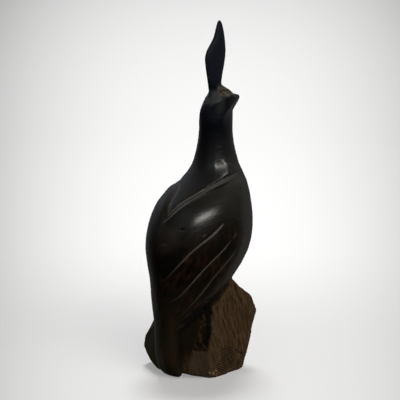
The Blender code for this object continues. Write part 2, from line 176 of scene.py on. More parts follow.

# Strokes: pixels along each, width and depth of the cut (a depth below zero raises), how much pale
# wax and painted sheen, dark stain and painted shade, or dry polish lies in it, and how much of it is
# left at its ends. "both" puts a mirrored one on the far side.
strokes = {
    # The band's pale lines are painted highlight on its edges and raised ribbon, and its dark lines
    # are painted shade in its grooves. The far arm's pale line is painted sheen.
    "bandUpper": {
        "pixels": ((168.5, 214.5), (174, 209.3), (180, 204), (190, 197.7), (200, 191.9),
                   (210, 186.6), (220, 181.5), (230, 176.8), (237, 172.8)),
        "width": 0.0006, "depth": 0.0004, "waxAndSheen": 1.0, "dry": 0.7, "ends": (0.9, 0.5),
    },
    "bandRibbon": {
        "pixels": ((168, 216), (174, 210.7), (180, 205.6), (190, 199.3), (200, 193.3), (210, 187.9),
                   (220, 182.7), (230, 178), (237, 173.8)),
        "width": 0.0014, "depth": -0.0002, "waxAndSheen": 0.22, "ends": (0.7, 0.5),
    },
    "bandMiddle": {
        "pixels": ((169, 216.2), (174, 211), (180, 205.6), (190, 199.3), (200, 193.3), (210, 188),
                   (220, 182.8)),
        "width": 0.0005, "depth": 0.0004, "stainAndShade": 0.8, "dry": 0.7, "ends": (0.6, 0.2),
    },
    "bandAbove": {
        "pixels": ((202, 191), (211, 185), (220, 179.8), (230, 174.4)),
        "width": 0.0006, "depth": 0.0004, "stainAndShade": 0.8, "dry": 1.0, "ends": (0.3, 0.6),
    },
    "bandUnder": {
        "pixels": ((205, 193.8), (215, 188), (222, 184.4), (231, 180.4)),
        "width": 0.0006, "depth": 0.0004, "stainAndShade": 0.6, "ends": (0.3, 0.4),
    },
    "bandLower": {
        "pixels": ((165, 221.5), (169.5, 217.2), (175, 212.3), (182, 206.6), (190, 201),
                   (200, 194.9), (210, 189.2), (220, 184), (229, 179.6), (236, 175.5)),
        "width": 0.0006, "depth": 0.0004, "waxAndSheen": 1.0, "dry": 0.7, "ends": (0.4, 0.4),
    },
    "bandFar": {
        "pixels": ((168.5, 212.5), (170, 205.5), (173, 199), (176, 194), (178.5, 189), (180, 184)),
        "width": 0.0015, "depth": 0.0001, "waxAndSheen": 0.36, "ends": (0.7, 0.9),
    },
    "feather1": {
        "pixels": ((223, 223.8), (217, 230.6), (210, 237), (200, 245.2), (191, 253), (177, 267.5),
                   (163, 282)),
        "width": 0.0007, "depth": 0.0007, "waxAndSheen": 0.95, "ends": (0.5, 0.1), "both": True,
    },
    "feather2": {
        "pixels": ((231.5, 240), (225, 248.5), (217, 257), (204.5, 269.5), (191.5, 284), (180, 296),
                   (170, 302.5)),
        "width": 0.0007, "depth": 0.0007, "waxAndSheen": 0.85, "ends": (0.4, 0.12), "both": True,
    },
    "feather2Start": {
        "pixels": ((237, 232), (234, 238)),
        "width": 0.0009, "depth": 0.0005, "waxAndSheen": 0.35, "ends": (0.3, 0.6),
    },
    "feather3": {
        "pixels": ((235, 254), (226, 264), (215, 276.5), (205, 289.5), (194.5, 302), (180, 317)),
        "width": 0.0007, "depth": 0.0006, "waxAndSheen": 0.7, "ends": (0.3, 0.1), "both": True,
    },
    "feather3Faint": {
        "pixels": ((239, 248), (229, 260), (219, 272), (209, 283)),
        "width": 0.0009, "depth": 0.0005, "waxAndSheen": 0.35, "ends": (0.3, 0.2),
    },
    "crownEdge": {
        "pixels": ((225.5, 88.8), (228.5, 90), (231, 92.5)),
        "width": 0.0006, "depth": 0.0004, "stainAndShade": 0.8, "ends": (0.4, 0.4),
    },
    "mouth": {
        "pixels": ((231, 95.8), (233, 97.2), (234.5, 98.6), (237.5, 98.4)),
        "width": 0.0006, "depth": 0.0005, "stainAndShade": 0.9, "ends": (0.5, 0.5), "both": True,
    },
    "neckRidge": {
        "pixels": ((229.5, 163), (228.5, 167), (228, 171.5)),
        "width": 0.0055, "depth": -0.0012, "ends": (0.4, 1.0), "both": True,
    },
    "neckHollow": {
        "pixels": ((215, 174), (221, 174), (228, 172)),
        "width": 0.0095, "depth": 0.00075, "ends": (0.3, 0.6), "both": True,
    },
    "crownCrack": {
        "pixels": ((219.5, 92.6), (222.5, 90.3), (226, 90.3), (228.5, 91.2)),
        "width": 0.0006, "depth": 0.0006, "stainAndShade": 0.9, "ends": (0.6, 0.4),
    },
    # A shallow dent, with a painted glint of pale colour in it.
    "tailDentGlint": {
        "pixels": ((161, 245), (164, 244), (168, 245)),
        "width": 0.0012, "depth": 0.0004, "waxAndSheen": 0.25, "ends": (0.3, 0.3),
    },
    # Painted sheen: a pale band along the tail's left edge, with no cut.
    "tailEdgeSheen": {
        "pixels": ((153, 285), (155, 300), (156.5, 320), (157.5, 340), (160, 358), (164, 368)),
        "width": 0.003, "depth": 0.0, "waxAndSheen": 0.5, "ends": (0.2, 0.6),
    },
    "tailGroove": {
        "pixels": ((181, 327), (182.6, 334), (183, 342), (182.4, 352), (180, 366)),
        "width": 0.0016, "depth": 0.0002, "stainAndShade": 0.9, "dry": 1.0, "ends": (1.0, 0.3),
    },
    "pit": {
        "pixels": ((180.5, 230.2), (184, 229.5)),
        "width": 0.001, "depth": 0.0004, "stainAndShade": 0.9, "ends": (0.6, 0.6),
    },
    "knot": {
        "pixels": ((203.5, 237), (205.5, 235)),
        "width": 0.0007, "depth": -0.0001, "waxAndSheen": 0.45, "ends": (0.8, 0.8),
    },
    "crackInner": {
        "pixels": ((213, 333), (215, 337), (217, 341)),
        "width": 0.0008, "depth": 0.0006, "stainAndShade": 0.6, "ends": (0.4, 0.3),
    },
    # Painted shadow: a near black line where the body meets the block, over a shallow cut.
    "bodyShadow": {
        "pixels": ((176.5, 329), (184, 323), (191, 317), (200, 309.8), (209, 303.7), (215, 298.5),
                   (219.5, 294)),
        "width": 0.0018, "depth": 0.0012, "stainAndShade": 1.0, "dry": 1.0, "ends": (0.3, 0.6),
    },
    "crackTop": {
        "pixels": ((234, 285), (238, 294), (243, 306)),
        "width": 0.0008, "depth": 0.0006, "stainAndShade": 0.8, "ends": (0.3, 0.3),
    },
    "crackTopLeft": {
        "pixels": ((230.5, 296), (234, 301), (237, 306)),
        "width": 0.0008, "depth": 0.0006, "stainAndShade": 0.7, "ends": (0.3, 0.3),
    },
    "crackMiddle": {
        "pixels": ((222, 318), (225, 326), (228, 337)),
        "width": 0.0009, "depth": 0.0006, "stainAndShade": 0.6, "ends": (0.3, 0.3),
    },
    "crackLow": {
        "pixels": ((235, 349.5), (239, 352), (244, 354)),
        "width": 0.0008, "depth": 0.0006, "stainAndShade": 0.8, "ends": (0.3, 0.3),
    },
}

# Patches seen from the camera's side: outline in pixels, how far the edge fades in pixels, and how
# much dark stain and painted shade, painted shade alone, pale wax and painted sheen, wear, rasp or dry
# polish each holds. "low" is where it fades out downwards, "depth" how far it is cut in, "lumps" how
# high its lumps are, "uneven" how much of it their tops lack, and "ragged" how torn its edge is.
patches = {
    "tailFlare": {
        "outline": ((172, 318), (186, 316), (196, 312), (199, 320), (197, 332), (195, 342),
                    (191, 352), (186, 364), (181, 373), (172, 377), (163, 372), (162, 340)),
        "fade": 5.0,
    },
    # Painted shade: near black on the wood beside the tail's foot, fading downwards.
    "flareShade": {
        "outline": ((176, 329), (186, 321), (198, 311), (203, 320), (201, 333), (197, 343),
                    (193, 353), (191, 365), (190, 379), (178, 379), (177, 350)),
        "fade": 8.0, "low": (348, 384), "stainAndShade": 0.97, "dry": 0.75,
    },
    "lowerWing": {
        "outline": ((157, 258), (168, 249), (183, 242), (190, 237), (200, 228), (220, 220.5),
                    (234, 217), (243, 222), (245, 234), (240, 250), (230, 264), (222, 278),
                    (212, 292), (198, 306), (184, 318), (172, 322), (164, 300), (158, 280)),
        "fade": 8.0, "ragged": 0.5, "dry": 0.45,
    },
    "tailSatin": {
        "outline": ((158, 312), (186, 312), (186, 380), (158, 380)),
        "fade": 10.0, "dry": 0.45,
    },
    # Painted sheen: pale colour on the wing's left flank.
    "leftSheen": {
        "outline": ((157, 230), (166, 225), (178, 231), (177, 244), (168, 254), (158, 252)),
        "fade": 10.0, "waxAndSheen": 0.11,
    },
    # Painted shade on the block just under the body.
    "underShade": {
        "outline": ((174, 328), (188, 316), (198, 308), (207, 301.5), (217, 292), (226, 281),
                    (230, 284), (221, 298), (212, 307), (202, 316), (190, 325.5), (181, 334)),
        "fade": 3.0, "shade": 0.85,
    },
    # Cut in with lumps, and painted shade: near black in the hollow, less on the lumps' tops.
    "recess": {
        "outline": ((198, 315), (205, 308), (212, 302.5), (212.2, 318), (212.4, 332), (209.5, 341),
                    (208, 352), (200, 353), (192.5, 351.5), (196, 342), (198, 331)),
        "fade": 1.8, "depth": 0.0018, "lumps": 0.0014, "uneven": 0.42, "stainAndShade": 0.97,
    },
    # Painted shade: a near black strip under the body, with a torn edge.
    "recessShade": {
        "outline": ((203, 309.5), (212, 302.5), (212.3, 318), (212, 330), (210, 338), (207.5, 346),
                    (205, 346), (207, 336), (207.5, 326), (206.5, 315)),
        "fade": 3.0, "ragged": 1.0, "shade": 0.9,
    },
    "lowFacet": {
        "outline": ((193.5, 353), (208, 352), (209, 380), (190, 380), (191, 366)),
        "fade": 6.0, "stainAndShade": 0.5, "waxAndSheen": 0.12,
    },
    "farBlock": {
        "outline": ((126, 312), (160, 312), (160, 378), (126, 378)),
        "fade": 3.0, "stainAndShade": 0.4, "waxAndSheen": 0.32,
    },
    "raspMarks": {
        "outline": ((221.5, 347), (233, 345), (236, 356), (231, 366), (226, 372), (216, 371),
                    (216, 363), (222, 358)),
        "fade": 4.0, "rasp": 0.65,
    },
    "crown": {
        "outline": ((217.5, 92), (219, 87.5), (222, 85.5), (227, 87.3), (232.5, 92), (232.8, 94.6),
                    (227, 96.4), (219, 96.6)),
        "fade": 2.4, "wear": 1.0,
    },
    # Painted sheen: pale grey on the nape.
    "nape": {
        "outline": ((206, 103), (208.5, 96), (210.5, 90.5), (216.5, 90.5), (219, 96.6), (223, 98.6),
                    (217, 102.6), (211, 105.5)),
        "fade": 6.0, "waxAndSheen": 0.33,
    },
    # Painted shade: the cheek under the brow is darkened and dulled.
    "cheekShade": {
        "outline": ((211, 110), (213, 105), (218, 102.4), (222, 100.4), (226, 97.9), (231.5, 95.8),
                    (234.5, 97.2), (237, 98.3), (235.6, 101), (233, 103.5), (230, 108),
                    (226, 112.5), (223, 117), (216, 121)),
        "fade": 1.6, "low": (108, 126), "stainAndShade": 0.75, "dry": 1.0,
    },
    "headBack": {
        "outline": ((197, 109), (203, 105), (213, 104), (218, 110), (217, 124), (197, 124)),
        "fade": 7.0, "low": (110, 128), "stainAndShade": 0.1, "dry": 0.8,
    },
    "neckGlow": {
        "outline": ((217, 164), (229, 162), (239, 170), (237, 178), (220, 178)),
        "fade": 5.0, "dry": 0.29,
    },
    # Painted sheen: pale grey on the throat under the jaw, fading downwards.
    "throat": {
        "outline": ((233.6, 99.4), (232.4, 103.8), (230, 108.2), (226.2, 113), (223.4, 117.5),
                    (222.8, 128), (222.5, 160), (242, 160), (242, 98)),
        "fade": 1.1, "low": (108, 134), "waxAndSheen": 0.15,
    },
}

# Worn spots: pixel, radius, how strongly the pale wood shows
spots = {
    "beakTip": {"pixel": (238, 98), "radius": 0.0020, "wear": 0.45},
    "chipLeft": {"pixel": (209.6, 372.8), "radius": 0.0014, "wear": 0.9},
    "chipMiddle": {"pixel": (213.5, 373.3), "radius": 0.0017, "wear": 1.0},
    "chipUpper": {"pixel": (216.5, 370.5), "radius": 0.0015, "wear": 1.0},
    "chipLower": {"pixel": (216.8, 376.4), "radius": 0.0013, "wear": 0.9},
}


def activate(obj):
    bpy.ops.object.select_all(action="DESELECT")
    obj.select_set(True)
    bpy.context.view_layer.objects.active = obj


def applyModifier(obj, name, kind, **settings):
    activate(obj)
    change = obj.modifiers.new(name, kind)
    for key, value in settings.items():
        setattr(change, key, value)
    bpy.ops.object.modifier_apply(modifier=change.name)


def copyNode(name, newName):
    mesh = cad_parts[name].data.copy()
    mesh.materials.clear()
    piece = bpy.data.objects.new(newName, mesh)
    bpy.context.scene.collection.objects.link(piece)
    activate(piece)
    bpy.ops.object.mode_set(mode="EDIT")
    bpy.ops.mesh.select_all(action="SELECT")
    bpy.ops.mesh.remove_doubles(threshold=carving["mergeWithin"])
    bpy.ops.object.mode_set(mode="OBJECT")
    return piece


def readPoints(obj):
    points = np.empty(len(obj.data.vertices) * 3)
    obj.data.vertices.foreach_get("co", points)
    return points.reshape(-1, 3)


def writePoints(obj, points):
    obj.data.vertices.foreach_set("co", points.ravel())
    obj.data.update()


def readNormals(obj):
    normals = np.empty(len(obj.data.vertices) * 3)
    obj.data.vertices.foreach_get("normal", normals)
    return normals.reshape(-1, 3)


def readEdges(obj):
    edges = np.empty(len(obj.data.edges) * 2, dtype=np.int64)
    obj.data.edges.foreach_get("vertices", edges)
    return edges.reshape(-1, 2)


def selectPoints(obj, chosen):
    activate(obj)
    bpy.ops.object.mode_set(mode="EDIT")
    bpy.ops.mesh.select_mode(type="VERT")
    bpy.ops.mesh.select_all(action="DESELECT")
    bpy.ops.object.mode_set(mode="OBJECT")
    obj.data.vertices.foreach_set("select", chosen)


def splitSelected(obj, cuts):
    bpy.ops.object.mode_set(mode="EDIT")
    bpy.ops.mesh.select_mode(type="VERT")
    bpy.ops.mesh.subdivide(number_cuts=cuts, smoothness=0.0)
    bpy.ops.mesh.select_all(action="DESELECT")
    bpy.ops.object.mode_set(mode="OBJECT")


def smoothstep(value, start, end):
    share = np.clip((value - start) / (end - start), 0.0, 1.0)
    return share * share * (3.0 - 2.0 * share)


def neighbourMean(values, edges, count):
    total = np.bincount(edges[:, 0], values[edges[:, 1]], len(values))
    total += np.bincount(edges[:, 1], values[edges[:, 0]], len(values))
    return total / count


def spread(values, edges, passes):
    # Average a value over neighbours.
    count = np.bincount(edges.ravel(), minlength=len(values)).astype(float)
    for i in range(passes):
        values = 0.5 * values + 0.5 * neighbourMean(values, edges, count)
    return values


def relax(points, edges, weight, passes, amounts):
    # Move points towards their neighbours' middle. A second, negative amount keeps the form from
    # shrinking.
    count = np.bincount(edges.ravel(), minlength=len(points)).astype(float)
    for i in range(passes):
        for amount in amounts:
            for axis in range(3):
                column = points[:, axis]
                column += weight * amount * (neighbourMean(column, edges, count) - column)
    return points


def lowerSkin(points):
    # Half width and half depth of the bird at each point's height, and how far out the point
    # lies: 1 on the bird's skin.
    table = np.array(carving["lowerBird"])
    middle, halfWidth, halfDepth = (np.interp(points[:, 2], table[:, 0], table[:, i])
                                    for i in (1, 2, 3))
    reach = np.hypot(points[:, 0] / halfWidth, (points[:, 1] - middle) / halfDepth)
    return halfWidth, halfDepth, reach


def roughMask(points):
    # 0 on the polished bird, 1 on the rough block.
    halfWidth, halfDepth, reach = lowerSkin(points)
    clearance = (reach - 1.0) * np.minimum(halfWidth, halfDepth)
    mask = smoothstep(clearance, *carving["roughSkin"])
    return mask * (1.0 - smoothstep(points[:, 2], *carving["roughTop"]))


def blendMask(points):
    # 1 where the tail runs softly into the block, on the side that the photo shows.
    halfWidth, halfDepth, reach = lowerSkin(points)
    mask = 1.0 - smoothstep(np.abs(reach - 1.0) * halfDepth, *carving["blendReach"])
    mask *= (smoothstep(points[:, 2], *carving["blendFoot"])
             * (1.0 - smoothstep(points[:, 2], *carving["blendTop"])))
    return mask * smoothstep(-points[:, 0], *carving["blendSide"])


def curveThrough(pixels, spacing=1.0):
    # Pixels on a smooth curve through a stroke's own.
    points = [Vector(p) for p in pixels]
    points = [points[0] * 2 - points[1]] + points + [points[-1] * 2 - points[-2]]
    path = []
    for i in range(1, len(points) - 2):
        a, b, c, d = points[i - 1:i + 3]
        steps = max(int((c - b).length / spacing), 1)
        for step in range(steps):
            t = step / steps
            path.append(0.5 * (2 * b + (c - a) * t + (2 * a - 5 * b + 4 * c - d) * t ** 2
                               + (3 * b - a - 3 * c + d) * t ** 3))
    path.append(points[-2])
    return path


def castPixels(tree, pixels):
    # Where photo pixels lie on the wood.
    back, right, up = viewAxes()
    aim = Vector(shot["aim"])
    eye = aim + back * shot["distance"]
    hits = []
    for x, y in curveThrough(pixels):
        across = (x - shot["imageWidth"] / 2) * shot["pixel"]
        rise = (shot["imageWidth"] / 2 - y) * shot["pixel"]
        target = aim + right * across + up * rise
        hit = tree.ray_cast(eye, (target - eye).normalized())[0]
        if hit is not None:
            hits.append(hit)
    return hits


def toPixels(points):
    # Where points lie in the photo.
    back, right, up = viewAxes()
    eye = np.array(Vector(shot["aim"]) + back * shot["distance"])
    ahead = (eye - points) @ np.array(back)
    scale = shot["distance"] / shot["pixel"] / ahead
    x = shot["imageWidth"] / 2 + (points - eye) @ np.array(right) * scale
    y = shot["imageWidth"] / 2 - (points - eye) @ np.array(up) * scale
    return np.stack((x, y), axis=1)


def mirrored(tree, path):
    return [tree.find_nearest(Vector((-p.x, p.y, p.z)))[0] for p in path]


def distanceTo(points, path, margin=0.02):
    # Distance from each point to a path, and the share of the path's length there.
    near = np.full(len(points), 1.0)
    share = np.zeros(len(points))
    path = np.array(path)
    lengths = np.linalg.norm(np.diff(path, axis=0), axis=1)
    starts = np.concatenate(([0.0], np.cumsum(lengths)))
    low = path.min(axis=0) - margin
    high = path.max(axis=0) + margin
    here = np.where(((points > low) & (points < high)).all(axis=1))[0]
    local = points[here]
    best = np.full(len(here), 1.0)
    place = np.zeros(len(here))
    for i in range(len(path) - 1):
        run = path[i + 1] - path[i]
        t = np.clip((local - path[i]) @ run / max(run @ run, 1e-12), 0.0, 1.0)
        away = np.linalg.norm(local - path[i] - t[:, None] * run, axis=1)
        closer = away < best
        best[closer] = away[closer]
        place[closer] = (starts[i] + t[closer] * lengths[i]) / starts[-1]
    near[here] = best
    share[here] = place
    return near, share


def shoulderMask(quail, points):
    # 1 along the top of both wings, which has to roll over evenly to take one long highlight.
    tree = BVHTree.FromObject(quail, bpy.context.evaluated_depsgraph_get())
    path = castPixels(tree, carving["shoulder"])
    margin = carving["shoulderMargin"]
    near = 1.0 - smoothstep(distanceTo(points, path, margin)[0], *carving["shoulderReach"])
    far = distanceTo(points, mirrored(tree, path), margin)[0]
    far = 1.0 - smoothstep(far, *carving["shoulderReach"])
    return np.maximum(near, carving["farShoulder"] * far)


def patchMask(points, normals, patch):
    # 1 inside a patch's outline, fading at its edge, on the faces that look at the camera.
    pixels = toPixels(points)
    outline = np.array(patch["outline"], dtype=float)
    inside = np.zeros(len(points), bool)
    away = np.full(len(points), 1e9)
    for a, b in zip(outline, np.roll(outline, -1, axis=0)):
        run = b - a
        t = np.clip((pixels - a) @ run / (run @ run), 0.0, 1.0)
        away = np.minimum(away, np.linalg.norm(pixels - a - t[:, None] * run, axis=1))
        crosses = (a[1] > pixels[:, 1]) != (b[1] > pixels[:, 1])
        with np.errstate(divide="ignore", invalid="ignore"):
            edge = a[0] + (pixels[:, 1] - a[1]) * run[0] / run[1]
        inside ^= crosses & (pixels[:, 0] < edge)
    signed = np.where(inside, away, -away)
    mask = smoothstep(signed, -0.5 * patch["fade"], 0.5 * patch["fade"])
    if "low" in patch:
        mask *= 1.0 - smoothstep(pixels[:, 1], *patch["low"])
    return mask * smoothstep(normals @ np.array(viewAxes()[0]), *carving["facing"])


def lumpiness(points, mask, size):
    # Uneven cut, between -1 and 1, worked out only where the mask is.
    values = np.zeros(len(points))
    for i in np.flatnonzero(mask > 0.01):
        values[i] = noise.noise(Vector(points[i]) / size)
    return values


def strokePaths(tree):
    paths = []
    for stroke in strokes.values():
        path = castPixels(tree, stroke["pixels"])
        paths.append((stroke, path))
        if "both" in stroke:
            paths.append((stroke, mirrored(tree, path)))
    return paths


def refineAlong(obj, paths):
    # Split the faces beside the fine strokes, so that a thin cut has enough points.
    points = readPoints(obj)
    close = np.zeros(len(points), bool)
    for stroke, path in paths:
        if stroke["width"] < carving["fineStroke"]:
            close |= distanceTo(points, path)[0] < carving["refineReach"] * stroke["width"]
    selectPoints(obj, close)
    splitSelected(obj, 2)


def easePolish(quail):
    points = readPoints(quail)
    edges = readEdges(quail)
    weight = 1.0 - spread(roughMask(points), edges, 2)
    start, end, kept = carving["plumeRelax"]
    weight *= 1.0 - kept * smoothstep(points[:, 2], start, end)
    start, end, kept = carving["beakRelax"]
    beak = smoothstep(-points[:, 1], start, end) * (points[:, 2] > carving["beakLow"])
    weight *= 1.0 - kept * beak
    weight = np.maximum(weight, carving["leastRelax"])
    points = relax(points, edges, weight, carving["relaxPasses"], carving["relax"])
    evenOut = carving["evenOut"]
    points = relax(points, edges, blendMask(points), carving["blendPasses"], evenOut)
    shoulder = shoulderMask(quail, points)
    points = relax(points, edges, shoulder, carving["shoulderPasses"], evenOut)
    writePoints(quail, points)
    flare = patchMask(points, readNormals(quail), patches["tailFlare"])
    points = relax(points, edges, flare, carving["flarePasses"], evenOut)
    writePoints(quail, points)


def shapeHead(quail):
    low, high, backEnd = head["box"]
    points = readPoints(quail)
    selectPoints(quail, (points[:, 2] > low) & (points[:, 2] < high) & (points[:, 1] < backEnd))
    splitSelected(quail, 1)
    points = readPoints(quail)
    table = np.array(head["sides"])
    y = points[:, 1]
    z = points[:, 2]
    width, jaw, brow = (np.interp(y, table[:, 0], table[:, i]) for i in (1, 2, 3))
    half = np.abs(points[:, 0])
    here = (1.0 - smoothstep(y, *head["backFade"])) * smoothstep(half / width, *head["sideFrom"])
    here *= (z > low) & (z < high)
    flat = smoothstep(z, jaw - head["jawEdge"], jaw + head["jawEdge"])
    flat = flat * (1.0 - smoothstep(z, brow, brow + head["browRise"]))
    flatHalf = half + here * flat * (width - half)
    flatHalf = np.where(z > brow, np.maximum(flatHalf, half), flatHalf)
    under = np.clip((jaw - z) / head["throatReach"], 0.0, 1.0)
    under = np.where(z < jaw - head["throatGap"], (1.0 - under) ** 2, 0.0)
    under = under * smoothstep(-y, *head["throatFrom"])
    flatHalf -= here * head["throatCut"] * under * (1.0 - smoothstep(-y, *head["throatTo"]))
    points[:, 0] = np.sign(points[:, 0]) * flatHalf
    writePoints(quail, points)


def drawStrokes(points, paths, marks):
    # Mark the strokes' pale wax and painted sheen, dark stain and painted shade, and dry polish, and
    # return how far each point is cut in.
    sink = np.zeros(len(points))
    kept, swell = carving["strokeSwell"]
    for stroke, path in paths:
        away, share = distanceTo(points, path)
        start, end = stroke["ends"]
        taper = np.minimum(start + share / carving["strokeStart"], 1.0)
        taper = taper * np.minimum(end + (1.0 - share) / carving["strokeEnd"], 1.0)
        width = stroke["width"] * (kept + swell * taper)
        cut = stroke["depth"] * taper * np.exp(-(away / width) ** 2)
        if stroke["width"] < carving["fineStroke"]:
            sink = np.where(np.abs(cut) > np.abs(sink), cut, sink)
        else:
            sink = sink + cut
        beside = np.exp(-(away / (carving["markWidth"] * width)) ** 2)
        for mark in ("waxAndSheen", "stainAndShade", "dry"):
            marks[mark] = np.maximum(marks[mark], stroke.get(mark, 0.0) * taper * beside)
    return sink


def drawPatches(points, normals, marks, sink):
    # The same for the patches, on top of the strokes.
    for patch in patches.values():
        mask = patchMask(points, normals, patch)
        if "ragged" in patch:
            edge = mask * (1.0 - mask) * 4.0 * patch["ragged"]
            mask = np.clip(mask + edge * lumpiness(points, mask, carving["raggedSize"]), 0.0, 1.0)
        sink += patch.get("depth", 0.0) * mask
        if "lumps" in patch:
            lumps = lumpiness(points, mask, carving["lumpSize"])
            sink += patch["lumps"] * mask * lumps
            mask *= 1.0 - patch["uneven"] * np.clip(-carving["unevenGain"] * lumps, 0.0, 1.0)
        for mark in marks:
            marks[mark] = np.maximum(marks[mark], patch.get(mark, 0.0) * mask)


def drawSpots(points, places, marks):
    for spot, place in zip(spots.values(), places):
        away = np.linalg.norm(points - np.array(place), axis=1) / spot["radius"]
        marks["wear"] = np.maximum(marks["wear"], spot["wear"] * (1.0 - smoothstep(away, 0.5, 1.0)))


def addAttribute(obj, name, values):
    layer = obj.data.attributes.new(name, "FLOAT", "POINT")
    layer.data.foreach_set("value", values.astype(np.float32))


def splitSurfaces(obj, dull):
    # Duller faces take the second or third material, which mirror less.
    mesh = obj.data
    corners = np.empty(len(mesh.loops), dtype=np.int32)
    mesh.loops.foreach_get("vertex_index", corners)
    starts = np.empty(len(mesh.polygons), dtype=np.int32)
    mesh.polygons.foreach_get("loop_start", starts)
    totals = np.empty(len(mesh.polygons), dtype=np.int32)
    mesh.polygons.foreach_get("loop_total", totals)
    share = np.add.reduceat(dull[corners], starts) / totals
    for name, specular in wood["specular"].items():
        mesh.materials.append(makeWood(name, specular))
    chosen = np.digitize(share, wood["dullFrom"]).astype(np.int32)
    mesh.polygons.foreach_set("material_index", chosen)


def carveFine(quail):
    tree = BVHTree.FromObject(quail, bpy.context.evaluated_depsgraph_get())
    paths = strokePaths(tree)
    places = [castPixels(tree, (spot["pixel"], spot["pixel"]))[0] for spot in spots.values()]
    refineAlong(quail, paths)
    points = readPoints(quail)
    normals = readNormals(quail)
    marks = {name: np.zeros(len(points)) for name in carving["marks"]}
    sink = drawStrokes(points, paths, marks)
    drawPatches(points, normals, marks, sink)
    drawSpots(points, places, marks)
    points -= normals * sink[:, None]
    points = np.clip(points, cadBox[0], cadBox[1])
    writePoints(quail, points)

    edges = readEdges(quail)
    rough = roughMask(points)
    narrow, wide = (spread(rough, edges, passes) for passes in carving["roughSpread"])
    marks["rough"] = narrow + blendMask(points) * (wide - rough)
    marks["dry"] = np.maximum(marks["dry"], smoothstep(points[:, 2], *wood["plumeFrom"]))
    for name, values in marks.items():
        addAttribute(quail, name, values)
    splitSurfaces(quail, np.maximum(np.maximum(marks["rough"], marks["wear"]), marks["dry"]))


def makeCarving():
    quail = copyNode("quail_carving", "carvedQuail")
    applyModifier(quail, "remesh", "REMESH", mode="VOXEL", voxel_size=carving["voxel"],
                  adaptivity=0.0)
    print("remeshed", len(quail.data.polygons), "faces")
    easePolish(quail)
    shapeHead(quail)
    print("smoothed the polished wood")
    carveFine(quail)
    activate(quail)
    bpy.ops.object.shade_smooth()
    triangles = sum(len(face.vertices) - 2 for face in quail.data.polygons)
    print("carved", len(strokes), "strokes,", triangles, "triangles")
    return quail


# One ironwood in three grades of polish. Colours are linear, lengths in metres.

wood = {
    "specular": {"ironwoodPolished": 0.5, "ironwoodSatin": 0.28, "ironwoodDull": 0.12},
    "dullFrom": (0.30, 0.62),        # share of rough, worn or dry wood that makes a face satin, dull
    "polish": (0.0055, 0.0042, 0.0022),
    "polishLow": (0.0200, 0.0155, 0.0085),
    "lowFrom": (0.095, 0.030),       # heights between which one tone takes over from another
    # Painted cool light: the polish is painted bluer towards the head, and paler and bluer where it is
    # dry up there, as on the plume.
    "polishDryPaintedCool": (0.0085, 0.0110, 0.0185),
    "polishHighPaintedCool": (0.0038, 0.0052, 0.0088),
    "highFrom": (0.17, 0.24),
    "plumeFrom": (0.259, 0.268),
    "figure": (0.038, 0.0150, 0.0058),
    "figureDark": (0.0030, 0.0018, 0.0010),
    "figureDepth": 0.9,
    "figureFrom": (0.150, 0.115),
    # Pale colour of wax, and of painted sheen on the nape, throat, flank and tail; the next is the
    # same up high.
    "waxAndSheen": (0.120, 0.103, 0.082),
    "sheenAndWaxHigh": (0.105, 0.113, 0.118),
    # Near black of stain in cracks, and of painted shade on the cheek, along the body's foot, in the
    # band's grooves and in the block's recess.
    "stainAndShade": (0.0020, 0.0022, 0.0024),
    "worn": (0.100, 0.084, 0.062),
    "hewn": (0.096, 0.058, 0.029),
    "hewnDark": (0.036, 0.018, 0.006),
    "hewnLight": (0.150, 0.100, 0.056),
    # Dark brown of stain in the block's cracks, and of painted shade in its hollows beside the tail
    # and under the body.
    "hewnStainAndShade": (0.0070, 0.0042, 0.0012),
    "chip": (0.36, 0.27, 0.17),
    "raspDark": (0.022, 0.011, 0.004),
    # patterns: size along the photo's right, depth and height, then tilt in the photo in degrees
    "figureGrain": ((0.0035, 0.0035, 0.014), -25),
    "figureClouds": ((0.016, 0.016, 0.016), 0),
    "wearGrain": ((0.0024, 0.0024, 0.0016), -20),
    "fibres": ((0.0022, 0.0022, 0.020), 18),
    "raspClouds": ((0.020, 0.020, 0.020), 0),
    "brushing": ((0.020, 0.020, 0.0012), 14),
    "pores": ((0.0014, 0.0014, 0.0014), 0),
    "raspPitch": 0.0019,
    "raspTilt": -38.0,
    "raspWander": 1.2,
    "gloss": (0.19, 0.30),           # roughness of the polish, between its brush marks
    "waxAndSheenGloss": 0.55,
    "dryGloss": 0.50,
    "dullGloss": 0.95,
    "brushHeight": 0.000028,
    "fibreHeight": 0.0009,
    "raspHeight": 0.0016,
}
waveSpacing = 0.314                  # a wave texture's own pitch at scale 1


def node(tree, kind, **values):
    made = tree.nodes.new(kind)
    for key, value in values.items():
        if key in made.inputs.keys():
            made.inputs[key].default_value = value
        else:
            setattr(made, key, value)
    return made


def grey(value):
    return (value, value, value)


def tiltedPlace(tree, lengths, tilt):
    # Place on the wood in steps of three lengths, tilted as seen in the photo.
    where = node(tree, "ShaderNodeTexCoord")
    mapping = node(tree, "ShaderNodeMapping", vector_type="TEXTURE")
    mapping.inputs["Scale"].default_value = lengths
    turned = Matrix.Rotation(math.radians(tilt), 3, viewAxes()[0])
    turned = turned @ Matrix.Rotation(math.radians(shot["azimuth"]), 3, "Z")
    mapping.inputs["Rotation"].default_value = turned.to_euler()
    tree.links.new(where.outputs["Object"], mapping.inputs["Vector"])
    return mapping.outputs["Vector"]


def stretchedNoise(tree, lengths, tilt, **values):
    cloud = node(tree, "ShaderNodeTexNoise", Scale=1.0, **values)
    tree.links.new(tiltedPlace(tree, lengths, tilt), cloud.inputs["Vector"])
    return cloud.outputs["Fac"]


